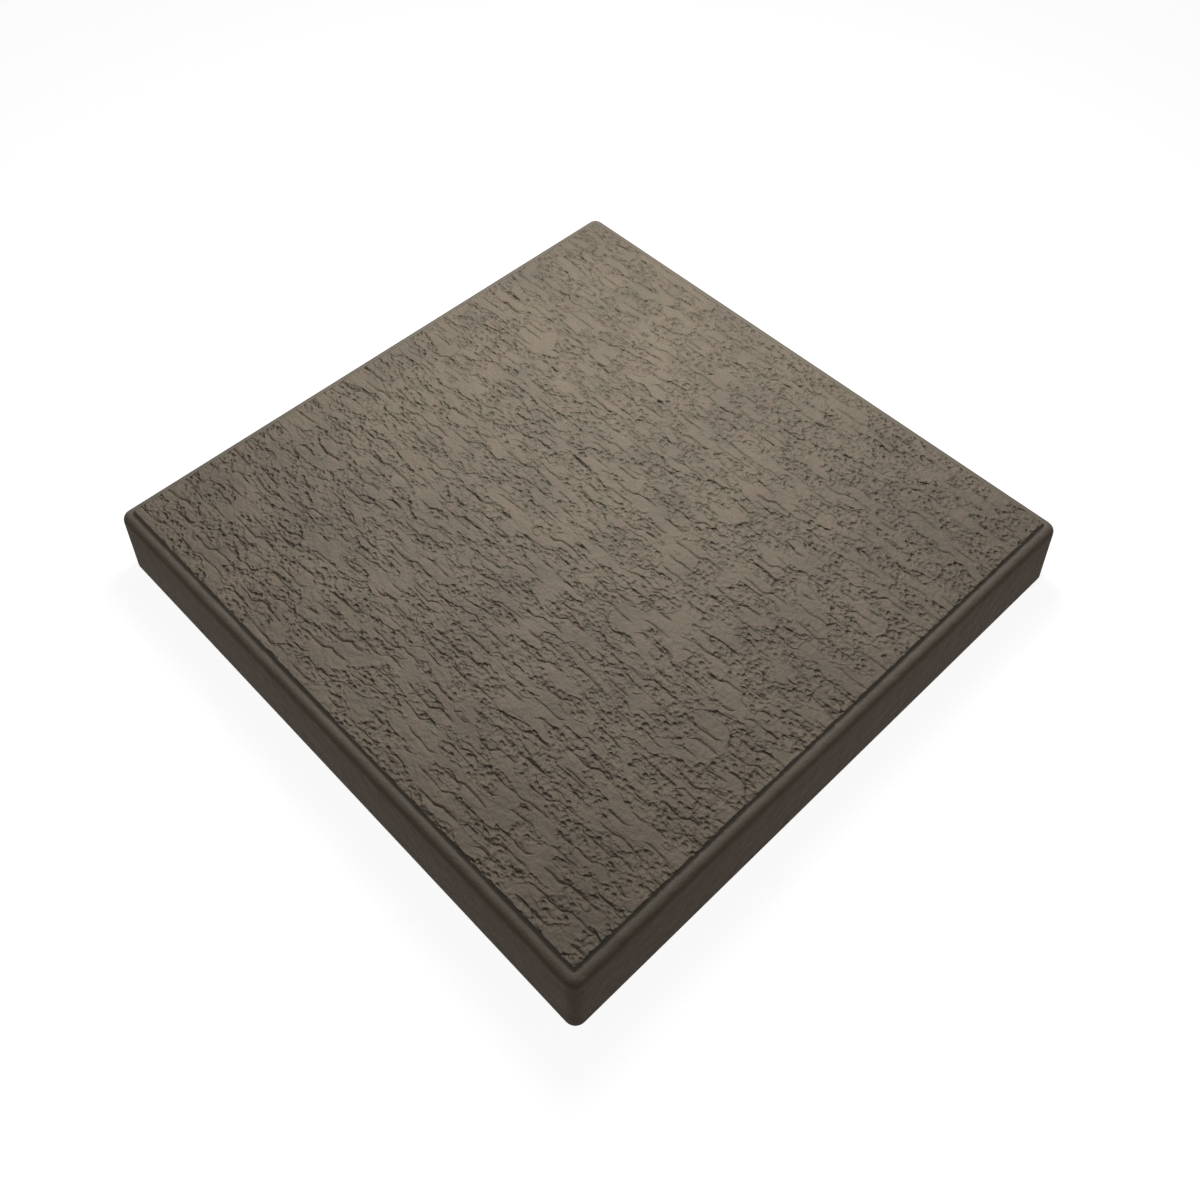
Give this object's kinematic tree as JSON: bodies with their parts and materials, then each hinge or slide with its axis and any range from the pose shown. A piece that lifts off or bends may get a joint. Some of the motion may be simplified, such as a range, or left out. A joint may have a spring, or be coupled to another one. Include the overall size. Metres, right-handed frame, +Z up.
{
  "type": "concrete paving slab",
  "caption": "Square cast concrete paving slab with a raised bark-textured field, a stepped and rounded top edge, leaning sides and a flat underside.",
  "frame": {"origin": "centre of the underside", "axes": "+Z up through the textured face, +X along the grain of the bark relief"},
  "size_m": [0.4, 0.4, 0.05],
  "materials": {
    "concrete": "matt cast concrete, warm grey-brown"
  },
  "bodies": {
    "root": {"paving_slab": "concrete"}
  },
  "joints": []
}
